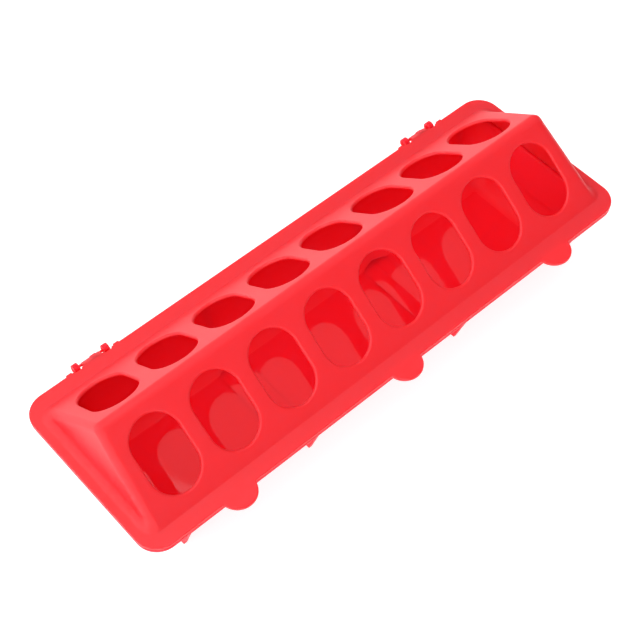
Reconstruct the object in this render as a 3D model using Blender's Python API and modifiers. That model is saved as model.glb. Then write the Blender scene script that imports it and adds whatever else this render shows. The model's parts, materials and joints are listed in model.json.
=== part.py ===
"""Flip-top trough feeder for chicks and other small poultry.

Two plastic mouldings: a feed tray that stands on its own floor and fins, and
a hip-roofed cover with sixteen feeding holes that swings on snap hinges.
Units are metres.  X runs along the trough, -Y is the side with the finger
tabs, +Z is up, and z = 0 is the surface the tray stands on.
"""
import bpy
import bmesh
from math import atan2, cos, hypot, pi, radians, sin
from mathutils import Matrix, Vector

MM = 0.001

# ---------------------------------------------------------------- dimensions
LENGTH = 305.0 * MM          # over the flange, along X
WIDTH = 103.0 * MM           # over the flange, along Y
CORNER_R = 12.0 * MM         # flange corner radius in plan
DECK_Z = 38.7 * MM           # top face of the cover flange
FLANGE_T = 2.0 * MM          # cover flange thickness
WALL = 1.6 * MM              # cover wall thickness
PLAY = 0.3 * MM              # gap between the two mouldings

ROOF_HX = 144.65 * MM        # half length of the roof where it meets the flange
ROOF_HY = 43.0 * MM          # half width of the roof there
RIDGE_HX = 140.3 * MM        # half length of the ridge
ROOF_H = 33.5 * MM           # ridge height over the flange, before rounding
ROOF_R = 4.0 * MM            # rounding of the ridge and the hips

HOLES_PER_SIDE = 8
HOLE_PITCH = 34.3 * MM
HOLE_W = 25.6 * MM           # hole width along X
HOLE_L = 39.4 * MM           # hole length down the slope
HOLE_AT = 0.49               # hole centre, as a fraction of the slope length

TAB_X = (-103.0 * MM, 0.0, 103.0 * MM)
TAB_R = 9.4 * MM
TAB_CY = 50.1 * MM           # tab centre, out from the middle of the flange
TAB_T = 1.8 * MM             # tab thickness
TAB_LOW = 0.1 * MM           # tab top face, below the flange top

TRAY_T = 2.0 * MM            # tray thickness, the same all over
TRAY_TOP_HX = 141.5 * MM     # inside of the tray at the rim
TRAY_TOP_HY = 42.0 * MM
TRAY_TOP_R = 11.0 * MM
TRAY_LOW_HX = 137.6 * MM     # inside of the tray where the floor starts to round
TRAY_LOW_HY = 36.5 * MM
TRAY_LOW_R = 15.0 * MM
FLOOR_R = 14.0 * MM          # inside rounding between wall and floor
RIM_INSET = 0.2 * MM         # tray rim, in from the cover flange outline

RIDGE_X = 49.5 * MM          # low cross ridges in the floor, from the middle
RIDGE_W = 16.0 * MM
RIDGE_RISE = 0.45 * MM
RIDGE_L = 53.0 * MM          # ends run out under the rounding of the floor
FIN_X = (-127.5 * MM, -49.5 * MM, 49.5 * MM, 127.5 * MM)
FIN_T = 2.2 * MM
FIN_FOOT_Y = 37.6 * MM       # outer end of a fin on the ground
FIN_TOP_Y = 49.3 * MM        # outer end of a fin under the rim

HINGE_X = 108.5 * MM         # hinge centres, either side of the middle
HINGE_SHIFT = -1.0 * MM      # both hinges sit a little to the left
HINGE_OUT = 54.2 * MM        # hinge axis, out from the middle of the flange
HINGE_DROP = 3.0 * MM        # hinge axis, below the flange top
PIN_R = 0.7 * MM
PIN_END = 0.5 * MM           # how far a pin shows beyond its hooks
HOOK_BORE_R = 1.05 * MM
HOOK_R = 2.1 * MM            # outside of a hook, round the hinge axis
HOOK_TOP_R = 2.55 * MM       # rounding over the top of a hook
HOOK_RISE = 0.65 * MM        # centre of the top rounding, above the hinge axis
HOOK_W = 3.0 * MM
HOOK_STEP = 8.8 * MM         # hooks, either side of the hinge centre
HOOK_NOTCH = 0.8 * MM        # relief in the cover flange in front of each hook
LUG_SHIFT = 1.8 * MM         # lug centre, to the right of the hinge centre
LUG_W = 3.5 * MM
LUG_R = 1.3 * MM
WEB_W = 10.6 * MM            # lower web on both sides of the lug
WEB_R = 0.95 * MM
NUB_STEP = 13.9 * MM         # guide nubs, either side of the hinge centre
NUB_W = 3.2 * MM
NUB_OUT = 0.8 * MM           # how far a nub stands out of the flange

RED = (0.86, 0.045, 0.055)   # both mouldings, linear colour

# the footprint is centred on the origin, so the flange sits a little off it
TAB_OUT = TAB_CY + TAB_R
HOOK_OUT = HINGE_OUT + HOOK_R
MID_Y = (TAB_OUT - HOOK_OUT) / 2.0
AXIS_Y = MID_Y + HINGE_OUT
AXIS_Z = DECK_Z - HINGE_DROP
RIM_TOP = DECK_Z - FLANGE_T - PLAY
PITCH = atan2(ROOF_H, ROOF_HY)

# turns a flat outline upright: its x, y and thickness become Y, Z and X
UPRIGHT = Matrix(((0, 0, 1, 0), (1, 0, 0, 0), (0, 1, 0, 0), (0, 0, 0, 1)))


# ------------------------------------------------------------------- helpers
def clear_scene():
    for obj in list(bpy.data.objects):
        bpy.data.objects.remove(obj, do_unlink=True)
    for coll in list(bpy.data.collections):
        bpy.data.collections.remove(coll)


def new_collection(name, hidden=False):
    coll = bpy.data.collections.new(name)
    bpy.context.scene.collection.children.link(coll)
    coll.hide_render = hidden
    return coll


def plastic(name, colour, rough):
    mat = bpy.data.materials.new(name)
    mat.use_nodes = True
    shader = mat.node_tree.nodes["Principled BSDF"]
    shader.inputs["Base Color"].default_value = (*colour, 1.0)
    shader.inputs["Roughness"].default_value = rough
    shader.inputs["Metallic"].default_value = 0.0
    return mat


def flat_shape(outline, thickness):
    """Mesh of a filled, extruded outline, centred on its own plane."""
    curve = bpy.data.curves.new("outline", "CURVE")
    curve.dimensions = "2D"
    curve.fill_mode = "BOTH"
    curve.extrude = thickness / 2.0
    spline = curve.splines.new("POLY")
    spline.points.add(len(outline) - 1)
    spline.use_cyclic_u = True
    for point, (x, y) in zip(spline.points, outline):
        point.co = (x, y, 0.0, 1.0)
    guide = bpy.data.objects.new("outline", curve)
    bpy.context.scene.collection.objects.link(guide)
    bpy.context.view_layer.update()
    graph = bpy.context.evaluated_depsgraph_get()
    mesh = bpy.data.meshes.new_from_object(guide.evaluated_get(graph))
    bpy.data.objects.remove(guide, do_unlink=True)
    return mesh


def add_mesh(bm, mesh, matrix):
    """Add a placed copy to bm, its curve caps welded on and made whole."""
    piece = bmesh.new()
    piece.from_mesh(mesh)
    bmesh.ops.remove_doubles(piece, verts=piece.verts, dist=0.00001)
    bmesh.ops.dissolve_limit(piece, angle_limit=0.0005, verts=piece.verts,
                             edges=piece.edges)
    piece.transform(matrix)
    copy = bpy.data.meshes.new("piece")
    piece.to_mesh(copy)
    piece.free()
    bm.from_mesh(copy)
    bpy.data.meshes.remove(copy)


def finish(bm, name, coll, origin=(0.0, 0.0, 0.0), closed=True):
    if closed:
        bmesh.ops.recalc_face_normals(bm, faces=bm.faces)
    bm.transform(Matrix.Translation(-Vector(origin)))
    mesh = bpy.data.meshes.new(name)
    bm.to_mesh(mesh)
    bm.free()
    obj = bpy.data.objects.new(name, mesh)
    obj.location = origin
    coll.objects.link(obj)
    return obj


def make_cutter(bm, name, coll):
    obj = finish(bm, name, coll)
    obj.hide_render = True
    obj.display_type = "WIRE"
    return obj


def upright_row(outline, thickness, places):
    """The same upright slab at each X in places, as one bmesh."""
    bm = bmesh.new()
    mesh = flat_shape(outline, thickness)
    for x in places:
        add_mesh(bm, mesh, Matrix.Translation((x, 0.0, 0.0)) @ UPRIGHT)
    return bm


def boolean(obj, other, operation):
    mod = obj.modifiers.new(operation.lower() + "_" + other.name, "BOOLEAN")
    mod.operation = operation
    mod.solver = "EXACT"
    mod.object = other


def bake(obj):
    """Apply the modifiers, then shade round faces smooth and keep edges."""
    graph = bpy.context.evaluated_depsgraph_get()
    mesh = bpy.data.meshes.new_from_object(obj.evaluated_get(graph))
    obj.modifiers.clear()
    obj.data = mesh
    mesh.name = obj.name
    mesh.shade_smooth()
    mesh.set_sharp_from_angle(angle=radians(28.0))


def arc(cx, cy, r, start, end, steps):
    """Points of an arc, angles in degrees, rounded so that arcs meet lines."""
    points = []
    for k in range(steps + 1):
        a = radians(start + (end - start) * k / steps)
        points.append((round(cx + r * cos(a), 7), round(cy + r * sin(a), 7)))
    return points


def hinge_places():
    """X of the two hinge centres."""
    return [HINGE_SHIFT - HINGE_X, HINGE_SHIFT + HINGE_X]


def hook_places():
    """X of every hinge hook: two at each hinge."""
    places = []
    for hinge in hinge_places():
        places += [hinge - HOOK_STEP, hinge + HOOK_STEP]
    return places


# --------------------------------------------------------------------- cover
def flange_plate():
    """Flat plate with round corners."""
    bm = bmesh.new()
    bmesh.ops.create_cube(bm, size=1.0)
    bmesh.ops.scale(bm, vec=(LENGTH, WIDTH, FLANGE_T), verts=bm.verts)
    middle = (0.0, MID_Y, DECK_Z - FLANGE_T / 2.0)
    bmesh.ops.translate(bm, vec=middle, verts=bm.verts)
    upright = []
    for edge in bm.edges:
        a, b = edge.verts
        if abs(a.co.z - b.co.z) > FLANGE_T / 2.0:
            upright.append(edge)
    bmesh.ops.bevel(bm, geom=upright, offset=CORNER_R, offset_type="OFFSET",
                    segments=8, profile=0.5, affect="EDGES")
    return bm


def finger_tabs():
    """Round tabs that stick out of the front of the flange."""
    bm = bmesh.new()
    for x in TAB_X:
        place = Matrix.Translation((x, MID_Y - TAB_CY, DECK_Z - TAB_T / 2.0 - TAB_LOW))
        bmesh.ops.create_cone(bm, cap_ends=True, segments=40, radius1=TAB_R,
                              radius2=TAB_R, depth=TAB_T, matrix=place)
    return bm


def hook_reliefs():
    """Shallow slots in the back of the flange, one in front of each hook."""
    bm = bmesh.new()
    width = HOOK_W + 4.0 * PLAY
    size = Matrix.Diagonal((width, 2.0 * HOOK_NOTCH, 3.0 * FLANGE_T, 1.0))
    for x in hook_places():
        place = Matrix.Translation((x, MID_Y + WIDTH / 2.0, DECK_Z - FLANGE_T / 2.0))
        bmesh.ops.create_cube(bm, size=1.0, matrix=place @ size)
    return bm


def roof_solid(inset, skirt, rounding):
    """Hip roof moved inwards by inset, standing on a box skirt deep."""
    slope = hypot(ROOF_HY, ROOF_H)
    run = ROOF_HX - RIDGE_HX
    hy = ROOF_HY - inset * slope / ROOF_H
    hx = ROOF_HX - inset * hypot(run, ROOF_H) / ROOF_H
    top = ROOF_H - inset * slope / ROOF_HY
    ridge = hx - run * top / ROOF_H
    bm = bmesh.new()
    bmesh.ops.create_cube(bm, size=2.0)
    bmesh.ops.scale(bm, vec=(hx, hy, skirt / 2.0), verts=bm.verts)
    middle = (0.0, MID_Y, DECK_Z - skirt / 2.0)
    bmesh.ops.translate(bm, vec=middle, verts=bm.verts)
    lid = [f for f in bm.faces if f.normal.z > 0.5]
    risen = bmesh.ops.extrude_face_region(bm, geom=lid)["geom"]
    bmesh.ops.delete(bm, geom=lid, context="FACES_ONLY")
    for vert in risen:
        if isinstance(vert, bmesh.types.BMVert):
            side = 1.0 if vert.co.x > 0.0 else -1.0
            vert.co = (side * ridge, MID_Y, DECK_Z + top)
    bmesh.ops.remove_doubles(bm, verts=bm.verts, dist=0.00001)
    bmesh.ops.recalc_face_normals(bm, faces=bm.faces)
    soft = []
    for edge in bm.edges:
        a, b = edge.verts
        level = abs(a.co.z - b.co.z) < 1e-6
        high = min(a.co.z, b.co.z) > DECK_Z + 1e-6
        if high or not level:
            soft.append(edge)
    bmesh.ops.bevel(bm, geom=soft, offset=rounding, offset_type="OFFSET",
                    segments=4, profile=0.5, affect="EDGES")
    return bm


def hole_plugs():
    """Long round-ended plugs, square to the slope that each one cuts."""
    r = HOLE_W / 2.0
    half = HOLE_L / 2.0 - r
    outline = arc(0.0, half, r, 0, 180, 12) + arc(0.0, -half, r, 180, 360, 12)
    mesh = flat_shape(outline, 9.0 * MM)
    bm = bmesh.new()
    for side in (-1, 1):
        y = MID_Y + side * ROOF_HY * (1.0 - HOLE_AT)
        z = DECK_Z + ROOF_H * HOLE_AT
        tilt = Matrix.Rotation(-side * PITCH, 4, "X")
        sink = Matrix.Translation((0.0, 0.0, -1.5 * MM))
        for i in range(HOLES_PER_SIDE):
            x = (i - (HOLES_PER_SIDE - 1) / 2.0) * HOLE_PITCH
            add_mesh(bm, mesh, Matrix.Translation((x, y, z)) @ tilt @ sink)
    return bm


def guide_nubs():
    """Low nubs on the back edge of the flange, outside the hooks."""
    bm = bmesh.new()
    size = Matrix.Diagonal((NUB_W, 2.0 * NUB_OUT, FLANGE_T - 0.3 * MM, 1.0))
    for hinge in hinge_places():
        for x in (hinge - NUB_STEP, hinge + NUB_STEP):
            place = Matrix.Translation((x, MID_Y + WIDTH / 2.0, DECK_Z - FLANGE_T / 2.0))
            bmesh.ops.create_cube(bm, size=1.0, matrix=place @ size)
    return bm


def lug_outline(r):
    """Lug side view: the flange edge drawn out round the hinge pin."""
    edge = MID_Y + WIDTH / 2.0
    root = edge - 1.2 * MM
    top = DECK_Z - 0.25 * MM
    low = DECK_Z - FLANGE_T + 0.25 * MM
    outline = arc(AXIS_Y, AXIS_Z, r, -160, 60, 14)
    outline += [(edge + 0.4 * MM, top), (root, top), (root, low)]
    outline.append((edge + 0.5 * MM, low))
    return outline


def hinge_lugs():
    places = [hinge + LUG_SHIFT for hinge in hinge_places()]
    return upright_row(lug_outline(LUG_R), LUG_W, places)


def hinge_webs():
    return upright_row(lug_outline(WEB_R), WEB_W, hinge_places())


def hinge_pins():
    """One cross pin at each hinge, held by its web like the bar of a T."""
    bm = bmesh.new()
    length = 2.0 * (HOOK_STEP + PIN_END) + HOOK_W
    turn = Matrix.Rotation(pi / 2.0, 4, "Y")
    for x in hinge_places():
        place = Matrix.Translation((x, AXIS_Y, AXIS_Z)) @ turn
        bmesh.ops.create_cone(bm, cap_ends=True, segments=16, radius1=PIN_R,
                              radius2=PIN_R, depth=length, matrix=place)
    return bm


def build_cover(coll, cutters):
    obj = finish(flange_plate(), "flip_cover", coll, (0.0, AXIS_Y, AXIS_Z))
    roof = make_cutter(roof_solid(0.0, 1.0 * MM, ROOF_R), "roof_body", cutters)
    inner = roof_solid(WALL, 3.0 * MM, ROOF_R - WALL)
    hollow = make_cutter(inner, "roof_hollow", cutters)
    holes = make_cutter(hole_plugs(), "feeding_holes", cutters)
    reliefs = make_cutter(hook_reliefs(), "hook_reliefs", cutters)
    boolean(obj, make_cutter(finger_tabs(), "finger_tabs", cutters), "UNION")
    boolean(obj, make_cutter(guide_nubs(), "guide_nubs", cutters), "UNION")
    boolean(obj, roof, "UNION")
    boolean(obj, reliefs, "DIFFERENCE")
    boolean(obj, hollow, "DIFFERENCE")
    boolean(obj, holes, "DIFFERENCE")
    boolean(obj, make_cutter(hinge_webs(), "hinge_webs", cutters), "UNION")
    boolean(obj, make_cutter(hinge_lugs(), "hinge_lugs", cutters), "UNION")
    boolean(obj, make_cutter(hinge_pins(), "hinge_pins", cutters), "UNION")
    return obj


# ---------------------------------------------------------------------- tray
def ring(hx, hy, r, z):
    """Rounded rectangle about the middle of the flange, at height z."""
    points = []
    for sx, sy, start in ((1, 1, 0), (-1, 1, 90), (-1, -1, 180), (1, -1, 270)):
        cx = sx * (hx - r)
        cy = MID_Y + sy * (hy - r)
        for x, y in arc(cx, cy, r, start, start + 90, 8):
            points.append((x, y, z))
    return points


def tray_sections():
    """Inside sections of the tray, from the floor up and out over the rim."""
    knee = TRAY_T + FLOOR_R
    sections = []
    steps = 6
    for k in range(steps + 1):
        a = radians(90.0 - 90.0 * k / steps)
        cut = FLOOR_R * (1.0 - cos(a))
        z = knee - FLOOR_R * sin(a)
        hx = TRAY_LOW_HX - cut
        hy = TRAY_LOW_HY - cut
        sections.append(ring(hx, hy, TRAY_LOW_R - cut, z))
    sections.append(ring(TRAY_TOP_HX, TRAY_TOP_HY, TRAY_TOP_R, RIM_TOP))
    hx = LENGTH / 2.0 - RIM_INSET
    hy = WIDTH / 2.0 - RIM_INSET
    sections.append(ring(hx, hy, CORNER_R - RIM_INSET, RIM_TOP))
    return sections


def tray_skin():
    """Open surface through the tray's sections, facing out, floor included."""
    bm = bmesh.new()
    loops = []
    for section in tray_sections():
        loops.append([bm.verts.new(point) for point in section])
    bm.faces.new(list(reversed(loops[0])))
    for low, high in zip(loops, loops[1:]):
        for i in range(len(low)):
            j = (i + 1) % len(low)
            bm.faces.new((low[i], low[j], high[j], high[i]))
    return bm


def fin_outline(side):
    """Upright fin from the rim down to the ground, rooted in the wall."""
    rim_mid = RIM_TOP - TRAY_T / 2.0
    reach = FLOOR_R + TRAY_T / 2.0
    cy = TRAY_LOW_HY - FLOOR_R
    half = [(FIN_FOOT_Y, 0.0), (FIN_TOP_Y, rim_mid)]
    half.append((TRAY_TOP_HY + TRAY_T / 2.0, rim_mid))
    half += arc(cy, TRAY_T + FLOOR_R, reach, 0, -84, 6)
    half.append((half[-1][0], 0.0))
    return [(MID_Y + side * y, z) for y, z in half]


def floor_ridges():
    """Low cross ridges, their slopes carried on down into the floor."""
    sink = 0.2 * MM
    half = RIDGE_W / 2.0 * (1.0 + sink / RIDGE_RISE)
    outline = [(-half, TRAY_T - sink), (-half, TRAY_T - 5.0 * sink)]
    outline += [(half, TRAY_T - 5.0 * sink), (half, TRAY_T - sink)]
    outline.append((0.0, TRAY_T + RIDGE_RISE))
    mesh = flat_shape(outline, RIDGE_L)
    turn = Matrix.Rotation(pi / 2.0, 4, "X")
    bm = bmesh.new()
    for x in (-RIDGE_X, RIDGE_X):
        add_mesh(bm, mesh, Matrix.Translation((x, MID_Y, 0.0)) @ turn)
    return bm


def hook_outline():
    """Hook side view: an arm under the rim, a round-topped finger, a jaw."""
    middle = AXIS_Y + HOOK_R - HOOK_TOP_R
    outline = arc(AXIS_Y, AXIS_Z, HOOK_R, -90, 0, 8)
    outline += arc(middle, AXIS_Z + HOOK_RISE, HOOK_TOP_R, 0, 160, 13)
    outline += arc(AXIS_Y, AXIS_Z, HOOK_BORE_R, 150, -90, 16)
    edge = MID_Y + WIDTH / 2.0 - RIM_INSET
    rim_mid = RIM_TOP - TRAY_T / 2.0
    outline.append((edge - 0.4 * MM, AXIS_Z - HOOK_BORE_R))
    outline.append((edge - 0.4 * MM, rim_mid))
    outline.append((edge - 4.0 * MM, rim_mid))
    outline.append((edge - 4.0 * MM, AXIS_Z - HOOK_R))
    return outline


def hinge_hooks():
    return upright_row(hook_outline(), HOOK_W, hook_places())


def build_tray(coll, cutters):
    obj = finish(tray_skin(), "feed_tray", coll, closed=False)
    shell = obj.modifiers.new("wall", "SOLIDIFY")
    shell.thickness = TRAY_T
    shell.offset = 1.0
    shell.use_even_offset = True
    for side, name in ((-1, "front_fins"), (1, "back_fins")):
        fins = upright_row(fin_outline(side), FIN_T, FIN_X)
        boolean(obj, make_cutter(fins, name, cutters), "UNION")
    boolean(obj, make_cutter(floor_ridges(), "floor_ridges", cutters), "UNION")
    boolean(obj, make_cutter(hinge_hooks(), "hinge_hooks", cutters), "UNION")
    return obj


def main():
    clear_scene()
    coll = new_collection("trough_feeder")
    cutters = new_collection("cutters", hidden=True)
    tray = build_tray(coll, cutters)
    cover = build_cover(coll, cutters)
    bake(tray)
    bake(cover)
    tray.data.materials.append(plastic("tray_red_plastic", RED, 0.22))
    cover.data.materials.append(plastic("cover_red_plastic", RED, 0.32))


main()
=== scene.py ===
"""Looks of the flip-top trough feeder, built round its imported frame.

Units are metres in the frame's axes: X runs along the trough, -Y is the side
with the finger tabs, +Z is up, and z = 0 is the surface the tray stands on.
"""
import json
from math import atan2, cos, pi, radians, sin, sqrt, tan

import bmesh
import bpy
from mathutils import Matrix, Quaternion, Vector

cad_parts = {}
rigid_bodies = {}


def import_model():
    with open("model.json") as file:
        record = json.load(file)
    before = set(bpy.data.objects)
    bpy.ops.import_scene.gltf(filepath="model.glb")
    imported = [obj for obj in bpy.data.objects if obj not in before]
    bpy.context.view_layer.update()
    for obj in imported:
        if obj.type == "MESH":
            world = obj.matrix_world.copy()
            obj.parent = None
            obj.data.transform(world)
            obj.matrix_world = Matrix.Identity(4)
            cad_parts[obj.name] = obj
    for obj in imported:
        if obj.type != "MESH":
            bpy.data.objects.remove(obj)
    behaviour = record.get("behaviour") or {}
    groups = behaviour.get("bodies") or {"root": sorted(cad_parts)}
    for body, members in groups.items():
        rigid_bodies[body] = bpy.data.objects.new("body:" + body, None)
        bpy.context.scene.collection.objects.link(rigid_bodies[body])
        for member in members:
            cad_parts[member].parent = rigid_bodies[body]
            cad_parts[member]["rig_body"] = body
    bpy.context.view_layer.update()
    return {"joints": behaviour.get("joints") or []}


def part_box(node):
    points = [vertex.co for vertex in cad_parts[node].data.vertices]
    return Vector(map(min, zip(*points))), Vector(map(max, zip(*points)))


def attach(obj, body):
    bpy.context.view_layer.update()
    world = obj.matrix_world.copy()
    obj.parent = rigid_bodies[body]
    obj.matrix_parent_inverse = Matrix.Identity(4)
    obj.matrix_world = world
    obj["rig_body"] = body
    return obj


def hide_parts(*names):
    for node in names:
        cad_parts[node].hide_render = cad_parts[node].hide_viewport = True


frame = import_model()

MM = 0.001

# ------------------------------------------------------- sizes from the frame
cover_low, cover_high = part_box("flip_cover")
tray_low, tray_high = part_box("feed_tray")
AXIS = Vector(frame["joints"][0]["pos_m"])   # hinge axis, it runs along X

LENGTH = cover_high.x - cover_low.x          # cover flange, along X
RIM_LENGTH = tray_high.x - tray_low.x        # tray rim, along X
WIDTH = 103.0 * MM                           # cover flange, along Y
RIM_WIDTH = WIDTH - (LENGTH - RIM_LENGTH)
HINGE_OUT = 54.2 * MM                        # hinge axis from the middle plane
HINGE_DROP = 3.0 * MM                        # hinge axis below the flange top
MID_Y = AXIS.y - HINGE_OUT
DECK_Z = AXIS.z + HINGE_DROP                 # top face of the cover flange
FLANGE_T = 2.0 * MM
WALL = 1.6 * MM
RIM_TOP = DECK_Z - FLANGE_T - 0.3 * MM
CORNER_R = 12.0 * MM

# ------------------------------------------------------------ cover dimensions
ROOF_HX = 144.65 * MM        # half length of the roof where it meets the flange
ROOF_HY = 43.0 * MM
RIDGE_HX = 140.3 * MM        # half length of the sharp ridge, before rounding
ROOF_H = 33.5 * MM           # sharp ridge over the flange, before rounding
PITCH = atan2(ROOF_H, ROOF_HY)
END_PITCH = atan2(ROOF_H, ROOF_HX - RIDGE_HX)
RIDGE_R = 5.1 * MM
RIDGE_TOP = ROOF_H - RIDGE_R * (1.0 / cos(PITCH) - 1.0)
RIDGE_END_R = 3.2 * MM       # rounding from the ridge into the end slopes
HIP_RX = 3.6 * MM            # hip rounding in plan, along X and along Y
HIP_RY = 5.9 * MM
HIP_THINNING = 1.6           # how fast HIP_RY shrinks with depth in the wall
SIDE_FOOT_R = 1.2 * MM       # fillet between a long slope and the flange
END_FOOT_R = 4.8 * MM        # fillet between an end slope and the flange
EDGE_R = 0.55 * MM           # rounding of the flange's outer edge

HOLES_PER_SIDE = 8
HOLE_PITCH = 34.3 * MM
HOLE_W = 25.6 * MM
HOLE_L = 39.4 * MM
HOLE_AT = 0.49               # hole centre, as a fraction of the slope length
LIP_R = 1.25 * MM            # rounding of a hole's outer lip
LIP_INNER_R = 0.25 * MM

TAB_X = (-103.0 * MM, 0.0, 103.0 * MM)
TAB_R = 9.4 * MM
TAB_CY = 50.1 * MM
TAB_FILLET = 0.9 * MM        # where a tab meets the straight edge

# ------------------------------------------------------------- tray dimensions
TRAY_T = 2.0 * MM
TRAY_TOP_HX = 141.5 * MM     # inside of the tray at the rim
TRAY_TOP_HY = 42.0 * MM
TRAY_TOP_R = 11.0 * MM
TRAY_LOW_HX = 137.6 * MM     # inside of the tray where the floor rounding starts
TRAY_LOW_HY = 36.5 * MM
TRAY_LOW_R = 15.0 * MM
FLOOR_R = 14.0 * MM
FLOOR_STEPS = 14
RIM_LIP_R = 0.9 * MM
RIDGE_X = 49.5 * MM          # low cross ridges in the tray floor
RIDGE_W = 16.0 * MM
RIDGE_RISE = 0.45 * MM
RIDGE_L = 53.0 * MM
RIDGE_SINK = 0.2 * MM        # depth of a ridge's sides in the floor
FIN_X = (-127.5 * MM, -49.5 * MM, 49.5 * MM, 127.5 * MM)
FIN_T = 2.2 * MM
FIN_FOOT_Y = 37.6 * MM
FIN_TOP_Y = 49.3 * MM

# ------------------------------------------------------------ hinge dimensions
HINGE_X = 108.5 * MM         # hinge centres, either side of HINGE_SHIFT
HINGE_SHIFT = -1.0 * MM
PIN_R = 0.7 * MM
PIN_END = 0.5 * MM           # how far a pin shows beyond its hooks
HOOK_BORE_R = 1.05 * MM
HOOK_R = 2.1 * MM            # outside of a hook, round the axis
HOOK_TOP_R = 2.55 * MM       # rounding over the top of a hook
HOOK_RISE = 0.65 * MM        # centre of the top rounding, above the axis
HOOK_W = 3.0 * MM
HOOK_ARM = 4.0 * MM          # how far a hook's arm runs in under the tray rim
HOOK_STEP = 8.8 * MM         # hooks, either side of the hinge centre
HOOK_NOTCH = 0.8 * MM        # relief in the cover flange in front of each hook
NOTCH_PLAY = 0.6 * MM        # on each side of the hook
LUG_SHIFT = 1.8 * MM         # lug centre, to the right of the hinge centre
LUG_W = 3.5 * MM
LUG_R = 1.3 * MM
LUG_ROOT = 1.2 * MM          # how far a lug runs into the flange
LUG_SINK = 0.25 * MM         # how far it stays below the flange's two faces
WEB_W = 10.6 * MM            # lower web on both sides of the lug
WEB_R = 0.95 * MM
NUB_STEP = 13.9 * MM         # guide nubs, either side of the hinge centre
NUB_W = 3.2 * MM
NUB_OUT = 0.8 * MM

WORLD_DIM = 0.28             # surroundings low on the right
WORLD_BRIGHT = 1.14          # surroundings up to the left
COVER_REDS = ((0.965, 0.015, 0.023), (0.990, 0.019, 0.030))
# the tray's red plastic, made darker than COVER_REDS as painted shade that stands in for
# the shade inside the tray
TRAY_SHADED_REDS = ((0.860, 0.014, 0.030), (0.895, 0.018, 0.040))
GLOW = 0.9                   # how far the light soaks into the plastic

CORNER_STEPS = 12
ROUND_STEPS = 8
EDGE_STEPS = 4               # along each quarter of a plate's rounded edge
HOLE_STEPS = 28              # along each half circle of a hole, and along a tab
LONG_FACE = 8.0 * MM         # a face with a longer edge, and an area to match, is flat
TINY = 1e-7                  # two points closer than this are at the same place
SHARP_ANGLE = radians(40.0)  # edges sharper than this stay sharp

# ------------------------------------------------------------- camera and studio
LENS = 80.92                 # mm, on a 36 mm wide sensor
CAMERA_AT = Vector((-0.27493, MID_Y - 0.31389, DECK_Z + 0.57326))
CAMERA_ALONG = Vector((0.37262, 0.44088, -0.81656))
CAMERA_ROLL = radians(-1.43)
FLOOR_HALF = 40.0            # half the side of the studio floor, in metres
FLOOR_SHADE = 0.5
FLOOR_GLOW = 0.78            # keeps the floor white under the soft light
BRIGHT_TOWARD = (-0.55, 0.45, 0.70)


# ------------------------------------------------------------------- geometry
def arc(cx, cy, rx, ry, start, end, steps):
    """Points of an elliptical arc, angles in degrees."""
    points = []
    for k in range(steps + 1):
        a = radians(start + (end - start) * k / steps)
        points.append((cx + rx * cos(a), cy + ry * sin(a)))
    return points


def rectangle(hx, hy, rx, ry, steps=CORNER_STEPS):
    """Rectangle with elliptical corners about the middle plane, anticlockwise."""
    points = []
    for sx, sy, start in ((1, 1, 0), (-1, 1, 90), (-1, -1, 180), (1, -1, 270)):
        cx = sx * (hx - rx)
        cy = MID_Y + sy * (hy - ry)
        points += arc(cx, cy, rx, ry, start, start + 90, steps)
    return points


def hinge_places():
    """X of the two hinge centres."""
    return [HINGE_SHIFT - HINGE_X, HINGE_SHIFT + HINGE_X]


def hook_places():
    """X of every hinge hook: two at each hinge."""
    places = []
    for hinge in hinge_places():
        places += [hinge - HOOK_STEP, hinge + HOOK_STEP]
    return places


def flange_outline(inset):
    """Outline of the cover flange, moved into the plastic by inset."""
    hx = LENGTH / 2.0
    hy = WIDTH / 2.0
    r = CORNER_R - inset
    cx = hx - CORNER_R
    top = MID_Y + hy - CORNER_R
    low = MID_Y - hy + CORNER_R
    back = MID_Y + hy - inset
    points = arc(cx, top, r, r, 0, 90, CORNER_STEPS)
    steps = []
    for x in hook_places():
        steps.append((x, HOOK_W / 2.0 + NOTCH_PLAY + inset, -HOOK_NOTCH))
    for hinge in hinge_places():
        for x in (hinge - NUB_STEP, hinge + NUB_STEP):
            steps.append((x, NUB_W / 2.0 - inset, NUB_OUT))
    for x, half, out in sorted(steps, reverse=True):
        points += [(x + half, back), (x + half, back + out)]
        points += [(x - half, back + out), (x - half, back)]
    points += arc(-cx, top, r, r, 90, 180, CORNER_STEPS)
    points += arc(-cx, low, r, r, 180, 270, CORNER_STEPS)
    rise = TAB_FILLET + hy - TAB_CY
    reach = sqrt((TAB_R + TAB_FILLET) ** 2 - rise ** 2)
    lean = atan2(rise, reach) * 180.0 / pi
    fillet_y = MID_Y - hy - TAB_FILLET
    fillet = TAB_FILLET + inset
    tab = TAB_R - inset
    for x in TAB_X:
        points += arc(x - reach, fillet_y, fillet, fillet, 90, lean, 4)
        round_tab = arc(x, MID_Y - TAB_CY, tab, tab, 180 + lean, 360 - lean, HOLE_STEPS)
        points += round_tab[1:-1]
        points += arc(x + reach, fillet_y, fillet, fillet, 180 - lean, 90, 4)
    points += arc(cx, low, r, r, 270, 360, CORNER_STEPS)
    return points


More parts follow.
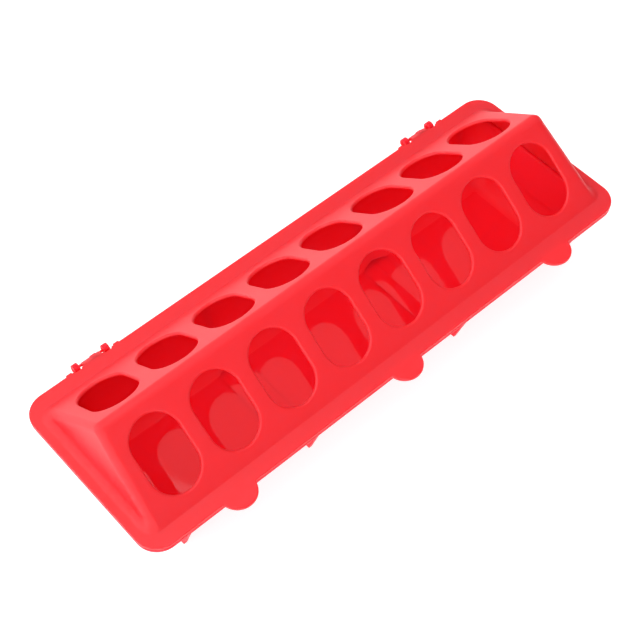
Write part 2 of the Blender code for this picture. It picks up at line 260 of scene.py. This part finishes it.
class Skin:
    """A closed mesh put together from rings, with its flat faces marked."""

    def __init__(self):
        self.bm = bmesh.new()
        self.flat = self.bm.faces.layers.int.new("flat")

    def ring(self, points, z):
        return [self.bm.verts.new((x, y, z)) for x, y in points]

    def loop(self, points):
        return [self.bm.verts.new(p) for p in points]

    def band(self, a, b, skip=()):
        """Quads between two rings of the same count, but not at skip."""
        for i in range(len(a)):
            if i not in skip:
                j = (i + 1) % len(a)
                self.bm.faces.new((a[i], a[j], b[j], b[i]))

    def cap(self, ring):
        self.bm.faces.new(ring)[self.flat] = 1

    def fill(self, outer, holes=()):
        """Flat faces inside the closed loop outer and outside every hole."""
        edges = []
        for loop in (outer, *holes):
            for a, b in zip(loop, loop[1:] + loop[:1]):
                edge = self.bm.edges.get((a, b))
                edges.append(edge or self.bm.edges.new((a, b)))
        made = bmesh.ops.triangle_fill(self.bm, use_beauty=True, edges=edges)
        for item in made["geom"]:
            if isinstance(item, bmesh.types.BMFace):
                item[self.flat] = 1

    def mark_flat(self):
        """Marks the large faces of the plane walls as flat."""
        for face in self.bm.faces:
            if max(e.calc_length() for e in face.edges) > LONG_FACE:
                if face.calc_area() > 0.3 * LONG_FACE * LONG_FACE:
                    face[self.flat] = 1

    def build(self, name, body, replaced=()):
        bmesh.ops.recalc_face_normals(self.bm, faces=self.bm.faces)
        mesh = bpy.data.meshes.new(name)
        self.bm.to_mesh(mesh)
        self.bm.free()
        set_normals(mesh)
        return place(name, mesh, body, replaced)


def set_normals(mesh):
    """Smooth normals, but a point on a flat face takes that face's normal."""
    mesh.shade_smooth()
    normals = [v.normal.copy() for v in mesh.vertices]
    flat = mesh.attributes["flat"].data
    for face in mesh.polygons:
        if flat[face.index].value:
            for i in face.vertices:
                normals[i] = face.normal.copy()
    mesh.normals_split_custom_set_from_vertices(normals)


def place(name, mesh, body, replaced=()):
    obj = bpy.data.objects.new(name, mesh)
    bpy.context.scene.collection.objects.link(obj)
    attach(obj, body)
    if replaced:
        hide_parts(*replaced)
    return obj


# ---------------------------------------------------------------------- cover
def roof_half_width(z, wall):
    """Half width of the roof at z over the flange, wall below its outside."""
    foot = ROOF_HY - wall / sin(PITCH)
    r = RIDGE_R - wall
    middle = RIDGE_TOP - RIDGE_R
    if z > middle + r * cos(PITCH):
        return sqrt(max(r * r - (z - middle) ** 2, 0.0))
    if wall == 0.0 and z < SIDE_FOOT_R * (1.0 - cos(PITCH)):
        out = foot + SIDE_FOOT_R * tan(PITCH / 2.0)
        return out - sqrt(SIDE_FOOT_R ** 2 - (SIDE_FOOT_R - z) ** 2)
    return foot - max(z, 0.0) / tan(PITCH)


def roof_half_length(z, wall):
    """Half length of the roof at z over the flange, wall below its outside."""
    foot = ROOF_HX - wall / sin(END_PITCH)
    r = RIDGE_END_R - wall
    middle = RIDGE_TOP - RIDGE_END_R
    high = middle + r * cos(END_PITCH)
    if z > high:
        start = foot - high / tan(END_PITCH) - r * sin(END_PITCH)
        return start + sqrt(max(r * r - (z - middle) ** 2, 0.0))
    if wall == 0.0 and z < END_FOOT_R * (1.0 - cos(END_PITCH)):
        out = foot + END_FOOT_R * tan(END_PITCH / 2.0)
        return out - sqrt(END_FOOT_R ** 2 - (END_FOOT_R - z) ** 2)
    return foot - max(z, 0.0) / tan(END_PITCH)


def roof_levels(wall):
    """Heights of the roof's rings, close together on each rounding."""
    levels = {0.0}
    if wall == 0.0:
        for r, pitch in ((SIDE_FOOT_R, PITCH), (END_FOOT_R, END_PITCH)):
            for k in range(1, ROUND_STEPS + 1):
                levels.add(round(r * (1.0 - cos(pitch * k / ROUND_STEPS)), 7))
    for r, pitch in ((RIDGE_R, PITCH), (RIDGE_END_R, END_PITCH)):
        middle = RIDGE_TOP - r
        for k in range(ROUND_STEPS + 1):
            rise = (r - wall) * cos(pitch * k / (ROUND_STEPS + 0.4))
            levels.add(round(middle + rise, 7))
    levels.add(round(RIDGE_TOP - RIDGE_R + (RIDGE_R - wall) * cos(PITCH), 7))
    return sorted(levels)


def roof_ring(z, wall):
    """Outline of the roof at z over the flange, with its hips rounded."""
    hx = roof_half_length(z, wall)
    hy = max(roof_half_width(z, wall), 0.12 * MM)
    straight_x = ROOF_HX - wall / sin(END_PITCH) - z / tan(END_PITCH)
    straight_y = ROOF_HY - wall / sin(PITCH) - z / tan(PITCH)
    rx = HIP_RX - wall + max(hx - straight_x, 0.0)
    ry = HIP_RY - HIP_THINNING * wall + max(hy - straight_y, 0.0) * (z < ROOF_H / 2.0)
    ry = min(ry, hy * 0.98)
    return rectangle(hx, hy, rx, ry)


def stadium(grow):
    """Outline of a feeding hole about its own centre, grown by grow."""
    r = HOLE_W / 2.0 + grow
    half = (HOLE_L - HOLE_W) / 2.0
    upper = arc(0.0, half, r, r, 0, 180, HOLE_STEPS)
    return upper + arc(0.0, -half, r, r, 180, 360, HOLE_STEPS)


def hole_loops(skin, side, index):
    """The round-lipped tube of one hole: returns its outer and inner loop."""
    x = (index - (HOLES_PER_SIDE - 1) / 2.0) * HOLE_PITCH
    y = MID_Y + side * ROOF_HY * (1.0 - HOLE_AT)
    z = DECK_Z + ROOF_H * HOLE_AT
    to_slope = Matrix.Translation((x, y, z)) @ Matrix.Rotation(-side * PITCH, 4, "X")
    steps = []
    for k in range(ROUND_STEPS + 1):
        a = radians(90.0 * k / ROUND_STEPS)
        steps.append((LIP_R * (1.0 - sin(a)), LIP_R * (1.0 - cos(a))))
    for k in range(1, 4):
        a = radians(90.0 * k / 3.0)
        r = LIP_INNER_R
        steps.append((r * (1.0 - cos(a)), WALL - r + r * sin(a)))
    loops = []
    for grow, depth in steps:
        points = [to_slope @ Vector((u, v, -depth)) for u, v in stadium(grow)]
        loops.append(skin.loop(points))
    for a, b in zip(loops, loops[1:]):
        skin.band(a, b)
    return loops[0], loops[-1]


def slope_loop(rings, side):
    """Boundary of one long slope, and which side of each ring it replaces."""
    n = CORNER_STEPS + 1
    first = (n - 1) if side > 0 else (3 * n - 1)
    loop = [ring[first] for ring in rings]
    return loop + [ring[first + 1] for ring in reversed(rings)], first


def roof_skin(skin, wall, hole_ends):
    """One face of the roof, from the flange up, with its holes left open."""
    levels = roof_levels(wall)
    rings = [skin.ring(roof_ring(z, wall), DECK_Z + z) for z in levels]
    foot = SIDE_FOOT_R * (1.0 - cos(PITCH)) if wall == 0.0 else 0.0
    high = RIDGE_TOP - RIDGE_R + (RIDGE_R - wall) * cos(PITCH)
    plane = []
    for z, ring in zip(levels, rings):
        if foot - 1e-6 <= z <= high + 1e-6:
            plane.append(ring)
    sides = {}
    for side in (1, -1):
        loop, first = slope_loop(plane, side)
        sides[first] = (loop, hole_ends[side])
    for a, b in zip(rings, rings[1:]):
        skin.band(a, b, skip=sides if a in plane and b in plane else ())
    for loop, holes in sides.values():
        skin.fill(loop, holes)
    skin.cap(rings[-1])
    return rings[0]


def edge_rings(skin, outline, r, top, low):
    """Rings of a plate's rounded edge, from its top face to its underside."""
    rings = []
    turns = [radians(90.0 * k / EDGE_STEPS) for k in range(EDGE_STEPS + 1)]
    for a in turns:
        rings.append(skin.ring(outline(r * (1.0 - sin(a))), top - r * (1.0 - cos(a))))
    for a in turns:
        rings.append(skin.ring(outline(r * (1.0 - cos(a))), low + r * (1.0 - sin(a))))
    for a, b in zip(rings, rings[1:]):
        skin.band(a, b)
    return rings[0], rings[-1]


def cover_shell():
    skin = Skin()
    outer_ends = {1: [], -1: []}
    inner_ends = {1: [], -1: []}
    for side in (1, -1):
        for index in range(HOLES_PER_SIDE):
            outer, inner = hole_loops(skin, side, index)
            outer_ends[side].append(outer)
            inner_ends[side].append(inner)
    outer_foot = roof_skin(skin, 0.0, outer_ends)
    inner_foot = roof_skin(skin, WALL, inner_ends)
    low = DECK_Z - FLANGE_T
    top_edge, low_edge = edge_rings(skin, flange_outline, EDGE_R, DECK_Z, low)
    skin.fill(top_edge, [outer_foot])
    hx = roof_half_length(0.0, WALL)
    hy = roof_half_width(0.0, WALL)
    last = inner_foot
    for k in range(EDGE_STEPS + 1):
        a = radians(90.0 * k / EDGE_STEPS)
        grow = EDGE_R * (1.0 - cos(a))
        z = low + EDGE_R * (1.0 - sin(a))
        rx = HIP_RX - WALL + grow
        ry = HIP_RY - HIP_THINNING * WALL + grow
        ring = skin.ring(rectangle(hx + grow, hy + grow, rx, ry), z)
        skin.band(last, ring)
        last = ring
    skin.fill(low_edge, [last])
    skin.mark_flat()
    return skin.build("cover_shell", "cover", ("flip_cover",))


# ----------------------------------------------------------------------- tray
def tray_ring(skin, hx, hy, r, z):
    return skin.ring(rectangle(hx, hy, r, r), z)


def tray_wall(skin, wall, bottom):
    """Rings of the tray's inside, or of its outside wall further out."""
    rings = []
    centre = TRAY_T + FLOOR_R
    r = FLOOR_R + wall
    for k in range(FLOOR_STEPS + 1):
        a = radians(90.0 - 90.0 * k / FLOOR_STEPS)
        cut = r * (1.0 - cos(a))
        hx = TRAY_LOW_HX + wall - cut
        hy = TRAY_LOW_HY + wall - cut
        z = max(centre - r * sin(a), bottom)
        rings.append(tray_ring(skin, hx, hy, TRAY_LOW_R + wall - cut, z))
    return rings


def rim_outline(inset):
    """Outline of the tray rim, moved into the plastic by inset."""
    r = CORNER_R - (LENGTH - RIM_LENGTH) / 2.0 - inset
    return rectangle(RIM_LENGTH / 2.0 - inset, RIM_WIDTH / 2.0 - inset, r, r)


def tray_shell():
    skin = Skin()
    inside = tray_wall(skin, 0.0, TRAY_T)
    skin.cap(inside[0])
    for k in range(ROUND_STEPS + 1):
        a = radians(90.0 * k / ROUND_STEPS)
        grow = RIM_LIP_R * (1.0 - cos(a))
        z = RIM_TOP - RIM_LIP_R * (1.0 - sin(a))
        hx = TRAY_TOP_HX + grow
        hy = TRAY_TOP_HY + grow
        inside.append(tray_ring(skin, hx, hy, TRAY_TOP_R + grow, z))
    for a, b in zip(inside, inside[1:]):
        skin.band(a, b)
    low = RIM_TOP - TRAY_T
    top_edge, low_edge = edge_rings(skin, rim_outline, EDGE_R, RIM_TOP, low)
    skin.band(inside[-1], top_edge)
    outside = tray_wall(skin, TRAY_T, 0.0)
    skin.cap(outside[0])
    for k in range(ROUND_STEPS + 1):
        a = radians(90.0 * k / ROUND_STEPS)
        grow = TRAY_T + RIM_LIP_R * (1.0 - cos(a))
        z = low - RIM_LIP_R * (1.0 - sin(a))
        hx = TRAY_TOP_HX + grow
        hy = TRAY_TOP_HY + grow
        outside.append(tray_ring(skin, hx, hy, TRAY_TOP_R + grow, z))
    for a, b in zip(outside, outside[1:]):
        skin.band(a, b)
    skin.band(outside[-1], low_edge)
    skin.mark_flat()
    return skin.build("tray_shell", "tray", ("feed_tray",))


# ----------------------------------------------- fins, ridges, hooks and lugs
def slab(name, body, outline, thickness, x, edge):
    """Upright plate cut to an outline in Y and Z, its edges rounded."""
    bm = bmesh.new()
    verts = [bm.verts.new((x - thickness / 2.0, y, z)) for y, z in outline]
    face = bm.faces.new(verts)
    risen = bmesh.ops.extrude_face_region(bm, geom=[face])["geom"]
    moved = [v for v in risen if isinstance(v, bmesh.types.BMVert)]
    bmesh.ops.translate(bm, vec=(thickness, 0.0, 0.0), verts=moved)
    bmesh.ops.recalc_face_normals(bm, faces=bm.faces)
    sides = [e for e in bm.edges if abs(e.verts[0].co.x - e.verts[1].co.x) < TINY]
    bmesh.ops.bevel(bm, geom=sides, offset=edge, offset_type="OFFSET",
                    segments=3, profile=0.5, affect="EDGES", clamp_overlap=True)
    mesh = bpy.data.meshes.new(name)
    bm.to_mesh(mesh)
    bm.free()
    mesh.shade_smooth()
    mesh.set_sharp_from_angle(angle=SHARP_ANGLE)
    obj = place(name, mesh, body)
    even = obj.modifiers.new("even_normals", "WEIGHTED_NORMAL")
    even.keep_sharp = True
    return obj


def fin_outline(side):
    """Fin side view: from the ground up the tray's wall to under the rim."""
    rim_mid = RIM_TOP - TRAY_T / 2.0
    reach = FLOOR_R + TRAY_T / 2.0
    cy = TRAY_LOW_HY - FLOOR_R
    half = [(FIN_FOOT_Y, 0.0), (FIN_TOP_Y, rim_mid)]
    half.append((TRAY_TOP_HY + TRAY_T / 2.0, rim_mid))
    half += arc(cy, TRAY_T + FLOOR_R, reach, reach, 0, -84, 10)
    half.append((half[-1][0], 0.0))
    return [(MID_Y + side * y, z) for y, z in half]


def floor_ridge(name, x):
    """Low roof-shaped ridge across the tray floor, sunk into it all round."""
    half = RIDGE_W / 2.0 * (1.0 + RIDGE_SINK / RIDGE_RISE)
    side = TRAY_T - RIDGE_SINK
    low = TRAY_T - 5.0 * RIDGE_SINK
    outline = [(-half, side), (-half, low), (half, low), (half, side)]
    outline.append((0.0, TRAY_T + RIDGE_RISE))
    bm = bmesh.new()
    start = MID_Y - RIDGE_L / 2.0
    face = bm.faces.new([bm.verts.new((x + dx, start, z)) for dx, z in outline])
    risen = bmesh.ops.extrude_face_region(bm, geom=[face])["geom"]
    moved = [v for v in risen if isinstance(v, bmesh.types.BMVert)]
    bmesh.ops.translate(bm, vec=(0.0, RIDGE_L, 0.0), verts=moved)
    bmesh.ops.recalc_face_normals(bm, faces=bm.faces)
    mesh = bpy.data.meshes.new(name)
    bm.to_mesh(mesh)
    bm.free()
    return place(name, mesh, "tray")


def hook_outline():
    """Hook side view: a round-topped finger, its bore, and an arm under the rim."""
    middle = AXIS.y + HOOK_R - HOOK_TOP_R
    top = AXIS.z + HOOK_RISE
    outline = arc(AXIS.y, AXIS.z, HOOK_R, HOOK_R, -90, 0, 10)
    outline += arc(middle, top, HOOK_TOP_R, HOOK_TOP_R, 0, 160, 22)
    outline += arc(AXIS.y, AXIS.z, HOOK_BORE_R, HOOK_BORE_R, 150, -90, 20)
    edge = MID_Y + RIM_WIDTH / 2.0
    step = edge - 0.4 * MM
    inner = edge - HOOK_ARM
    rim_mid = RIM_TOP - TRAY_T / 2.0
    outline += [(step, AXIS.z - HOOK_BORE_R), (step, rim_mid)]
    outline += [(inner, rim_mid), (inner, AXIS.z - HOOK_R)]
    return outline


def lug_outline(r):
    """Lug side view: the flange edge drawn out round the hinge pin."""
    edge = MID_Y + WIDTH / 2.0
    root = edge - LUG_ROOT
    top = DECK_Z - LUG_SINK
    low = DECK_Z - FLANGE_T + LUG_SINK
    outline = arc(AXIS.y, AXIS.z, r, r, -160, 60, 18)
    outline += [(edge + 0.4 * MM, top), (root, top), (root, low)]
    outline.append((edge + 0.5 * MM, low))
    return outline


def small_plates():
    """The fins, floor ridges, hinge hooks, lugs and webs."""
    pieces = []
    for i, x in enumerate(FIN_X, 1):
        for side, word in ((-1, "front"), (1, "back")):
            name = f"tray_fin_{word}_{i}"
            pieces.append(slab(name, "tray", fin_outline(side), FIN_T, x, 0.35 * MM))
    for i, x in enumerate((-RIDGE_X, RIDGE_X), 1):
        pieces.append(floor_ridge(f"floor_ridge_{i}", x))
    for i, x in enumerate(hook_places(), 1):
        name = f"hinge_hook_{i}"
        pieces.append(slab(name, "tray", hook_outline(), HOOK_W, x, 0.45 * MM))
    for word, hinge in zip(("left", "right"), hinge_places()):
        x = hinge + LUG_SHIFT
        name = f"hinge_lug_{word}"
        pieces.append(slab(name, "cover", lug_outline(LUG_R), LUG_W, x, 0.4 * MM))
        name = f"hinge_web_{word}"
        pieces.append(slab(name, "cover", lug_outline(WEB_R), WEB_W, hinge, 0.3 * MM))
    return pieces


def hinge_pins():
    """One cross pin at each hinge, held by its lug and web."""
    pieces = []
    length = 2.0 * (HOOK_STEP + PIN_END) + HOOK_W
    for word, hinge in zip(("left", "right"), hinge_places()):
        bm = bmesh.new()
        at = Matrix.Translation((hinge, AXIS.y, AXIS.z)) @ Matrix.Rotation(pi / 2.0, 4, "Y")
        bmesh.ops.create_cone(bm, cap_ends=True, segments=32, radius1=PIN_R,
                              radius2=PIN_R, depth=length, matrix=at)
        rims = [e for e in bm.edges if abs(e.verts[0].co.x - e.verts[1].co.x) < TINY]
        bmesh.ops.bevel(bm, geom=rims, offset=0.3 * MM, offset_type="OFFSET",
                        segments=3, profile=0.5, affect="EDGES")
        mesh = bpy.data.meshes.new(f"hinge_pin_{word}")
        bm.to_mesh(mesh)
        bm.free()
        mesh.shade_smooth()
        mesh.set_sharp_from_angle(angle=SHARP_ANGLE)
        pieces.append(place(f"hinge_pin_{word}", mesh, "cover"))
    return pieces


# ------------------------------------------------------------------ materials
def red_plastic(name, shades, roughness, gloss, grain, polish=None):
    """Moulded red plastic: faint colour drift, fine grain and soft waves.

    shades are the two colours it drifts between; polish is a pair
    (roughness, gloss) for faces that lie level.
    """
    mat = bpy.data.materials.new(name)
    mat.use_nodes = True
    nodes = mat.node_tree.nodes
    links = mat.node_tree.links
    shader = nodes["Principled BSDF"]
    shader.inputs["Metallic"].default_value = 0.0
    shader.inputs["IOR"].default_value = 1.49
    shader.inputs["Specular IOR Level"].default_value = gloss
    shader.inputs["Subsurface Weight"].default_value = GLOW
    shader.inputs["Subsurface Radius"].default_value = (1.0, 0.06, 0.06)
    shader.inputs["Subsurface Scale"].default_value = 5.0 * MM
    where = nodes.new("ShaderNodeTexCoord")

    def noise(scale, detail):
        node = nodes.new("ShaderNodeTexNoise")
        node.inputs["Scale"].default_value = scale
        node.inputs["Detail"].default_value = detail
        links.new(where.outputs["Object"], node.inputs["Vector"])
        return node.outputs["Fac"]

    def ramp(value, low, high):
        node = nodes.new("ShaderNodeMapRange")
        node.inputs["To Min"].default_value = low
        node.inputs["To Max"].default_value = high
        links.new(value, node.inputs["Value"])
        return node.outputs["Result"]

    drift = noise(22.0, 3.0)
    colour = nodes.new("ShaderNodeMix")
    colour.data_type = "RGBA"
    colour.inputs[6].default_value = (*shades[0], 1.0)
    colour.inputs[7].default_value = (*shades[1], 1.0)
    links.new(drift, colour.inputs[0])
    links.new(colour.outputs[2], shader.inputs["Base Color"])

    rough = ramp(noise(60.0, 4.0), roughness - 0.04, roughness + 0.04)
    if polish:
        split = nodes.new("ShaderNodeSeparateXYZ")
        links.new(where.outputs["Normal"], split.inputs["Vector"])
        level = nodes.new("ShaderNodeMapRange")
        level.inputs["From Min"].default_value = 0.990
        level.inputs["From Max"].default_value = 0.998
        links.new(split.outputs["Z"], level.inputs["Value"])
        blend = nodes.new("ShaderNodeMix")
        links.new(level.outputs["Result"], blend.inputs[0])
        links.new(rough, blend.inputs[2])
        blend.inputs[3].default_value = polish[0]
        rough = blend.outputs[0]
        sheen = nodes.new("ShaderNodeMapRange")
        sheen.inputs["To Min"].default_value = gloss
        sheen.inputs["To Max"].default_value = polish[1]
        links.new(level.outputs["Result"], sheen.inputs["Value"])
        links.new(sheen.outputs["Result"], shader.inputs["Specular IOR Level"])
    links.new(rough, shader.inputs["Roughness"])

    fine = nodes.new("ShaderNodeBump")
    fine.inputs["Strength"].default_value = grain
    fine.inputs["Distance"].default_value = 0.00004
    links.new(noise(2600.0, 2.0), fine.inputs["Height"])
    waves = nodes.new("ShaderNodeBump")
    waves.inputs["Strength"].default_value = 0.15
    waves.inputs["Distance"].default_value = 0.0002
    links.new(noise(45.0, 1.0), waves.inputs["Height"])
    links.new(fine.outputs["Normal"], waves.inputs["Normal"])
    links.new(waves.outputs["Normal"], shader.inputs["Normal"])
    return mat


def plain(name, colour, roughness):
    mat = bpy.data.materials.new(name)
    mat.use_nodes = True
    shader = mat.node_tree.nodes["Principled BSDF"]
    shader.inputs["Base Color"].default_value = (*colour, 1.0)
    shader.inputs["Roughness"].default_value = roughness
    return mat


# --------------------------------------------------------------------- studio
def floor():
    bm = bmesh.new()
    bmesh.ops.create_grid(bm, x_segments=1, y_segments=1, size=FLOOR_HALF)
    mesh = bpy.data.meshes.new("studio_floor")
    bm.to_mesh(mesh)
    bm.free()
    obj = bpy.data.objects.new("studio_floor", mesh)
    bpy.context.scene.collection.objects.link(obj)
    white = plain("studio_white", (FLOOR_SHADE,) * 3, roughness=0.9)
    shader = white.node_tree.nodes["Principled BSDF"]
    shader.inputs["Emission Color"].default_value = (1.0, 1.0, 1.0, 1.0)
    shader.inputs["Emission Strength"].default_value = FLOOR_GLOW
    mesh.materials.append(white)


def area_light(name, at, size, power):
    data = bpy.data.lights.new(name, "AREA")
    data.shape = "RECTANGLE"
    data.size, data.size_y = size
    data.energy = power
    obj = bpy.data.objects.new(name, data)
    obj.location = at
    toward = Vector((0.0, 0.0, DECK_Z)) - Vector(at)
    obj.rotation_euler = toward.to_track_quat("-Z", "Y").to_euler()
    bpy.context.scene.collection.objects.link(obj)


def world():
    """White surroundings, brighter up to the left and dim low on the right."""
    made = bpy.data.worlds.new("studio_world")
    made.use_nodes = True
    nodes = made.node_tree.nodes
    links = made.node_tree.links
    where = nodes.new("ShaderNodeTexCoord")
    toward = nodes.new("ShaderNodeVectorMath")
    toward.operation = "DOT_PRODUCT"
    toward.inputs[1].default_value = BRIGHT_TOWARD
    links.new(where.outputs["Generated"], toward.inputs[0])
    level = nodes.new("ShaderNodeMapRange")
    level.inputs["From Min"].default_value = -0.3
    level.inputs["From Max"].default_value = 1.0
    level.inputs["To Min"].default_value = WORLD_DIM
    level.inputs["To Max"].default_value = WORLD_BRIGHT
    links.new(toward.outputs["Value"], level.inputs["Value"])
    nodes["Background"].inputs["Color"].default_value = (0.96, 0.98, 1.0, 1.0)
    links.new(level.outputs["Result"], nodes["Background"].inputs["Strength"])
    bpy.context.scene.world = made


def camera():
    data = bpy.data.cameras.new("camera")
    data.sensor_width = 36.0
    data.lens = LENS
    obj = bpy.data.objects.new("camera", data)
    obj.location = CAMERA_AT
    roll = Quaternion((0.0, 0.0, 1.0), CAMERA_ROLL)
    obj.rotation_euler = (CAMERA_ALONG.to_track_quat("-Z", "Y") @ roll).to_euler()
    bpy.context.scene.collection.objects.link(obj)
    bpy.context.scene.camera = obj


def main():
    camera()
    cover_red = red_plastic("cover_red_plastic", COVER_REDS, roughness=0.40, gloss=0.39,
                            grain=0.5)
    # the tray's reds carry painted shade for its shaded inside
    tray_red = red_plastic("tray_red_plastic", TRAY_SHADED_REDS, roughness=0.42, gloss=0.16,
                           grain=0.04, polish=(0.03, 0.34))
    pieces = [cover_shell(), tray_shell()] + small_plates() + hinge_pins()
    for piece in pieces:
        piece.data.materials.append(tray_red if piece["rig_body"] == "tray" else cover_red)
    floor()
    world()
    area_light("softbox_high", (-0.35, 0.25, 0.75), (0.9, 0.9), 3.2)
    area_light("softbox_left", (-0.95, -0.22, 0.22), (1.2, 0.9), 4.4)
    area_light("softbox_front", (-0.45, -1.00, 0.90), (0.8, 0.6), 2.4)
    bpy.context.scene.view_settings.view_transform = "Standard"


main()
